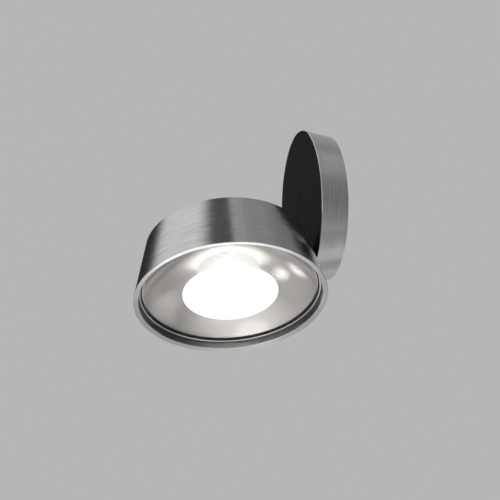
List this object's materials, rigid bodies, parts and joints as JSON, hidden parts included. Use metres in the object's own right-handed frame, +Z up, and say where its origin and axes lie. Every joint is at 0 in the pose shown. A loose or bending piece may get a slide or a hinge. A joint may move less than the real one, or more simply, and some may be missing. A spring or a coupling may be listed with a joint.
{
  "type": "wall spotlight",
  "caption": "Wall spotlight made as a cut cone: a shallow round base with a turning black disc, and a brushed conical head that tilts out of it on a hinge and shines through a front glass.",
  "frame": {"origin": "centre of the base's back face, on the wall", "axes": "+Y into the wall along the base axis, -Y out into the room, +Z up, +X to the right seen from the room; at rest the head is turned 36.4 degrees from straight down towards +X and opened 87 degrees"},
  "size_m": [0.1306, 0.1228, 0.1332],
  "materials": {
    "brushed_aluminium": "turned and brushed round the axis",
    "matt_black_paint": "matt black powder coat on aluminium",
    "matt_black_steel": "matt black powder coat on steel",
    "zinc_steel": "zinc plated",
    "black_screw_steel": "black oxide",
    "cast_aluminium": "as cast",
    "satin_reflector": "satin anodised",
    "polished_ring": "polished",
    "clear_glass": "clear",
    "frosted_glass": "frosted, lit from behind",
    "black_rubber": "matt",
    "bearing_brass": "turned",
    "circuit_board": "solder mask",
    "component_plastic": "moulded",
    "white_plastic": "moulded",
    "friction_plastic": "low friction plastic",
    "phosphor": "light emitting layer"
  },
  "bodies": {
    "base": {"wall_plate": "zinc_steel", "cable_grommet": "black_rubber", "terminal_block": "white_plastic", "terminal_screws": "zinc_steel", "base_shell": "brushed_aluminium", "base_grub_screws": "zinc_steel", "spindle_bush": "bearing_brass", "stop_pin": "zinc_steel", "driver_board": "circuit_board", "driver_components": "component_plastic", "driver_screws": "zinc_steel"},
    "turntable": {"front_disc": "matt_black_paint", "hinge_arm": "matt_black_steel", "arm_screws": "zinc_steel", "spindle": "zinc_steel", "spindle_screws": "zinc_steel", "stop_washer": "zinc_steel", "wave_washer": "zinc_steel", "spindle_nut": "zinc_steel"},
    "head": {"head_shell": "brushed_aluminium", "back_cover": "matt_black_paint", "back_cover_screws": "black_screw_steel", "heat_sink": "cast_aluminium", "led_board": "white_plastic", "led_emitter": "phosphor", "led_holder": "white_plastic", "led_holder_screws": "zinc_steel", "reflector": "satin_reflector", "glass_seal": "black_rubber", "front_glass": "clear_glass", "frosted_disc": "frosted_glass", "retaining_ring": "polished_ring", "hinge_bracket": "zinc_steel", "bracket_screws": "zinc_steel", "hinge_pin": "zinc_steel", "hinge_washers": "friction_plastic", "hinge_spring_washer": "zinc_steel", "hinge_nut": "zinc_steel"}
  },
  "joints": [
    {"name": "swivel", "type": "hinge", "parent": "base", "child": "turntable", "pos_m": [0, 0, 0], "axis": [0, -1, 0], "range_deg": [-210.4, 137.6]},
    {"name": "tilt", "type": "hinge", "parent": "turntable", "child": "head", "pos_m": [0.02407, -0.02593, -0.03265], "axis": [0.8049, 0, 0.5934], "range_deg": [-87, 0]}
  ]
}
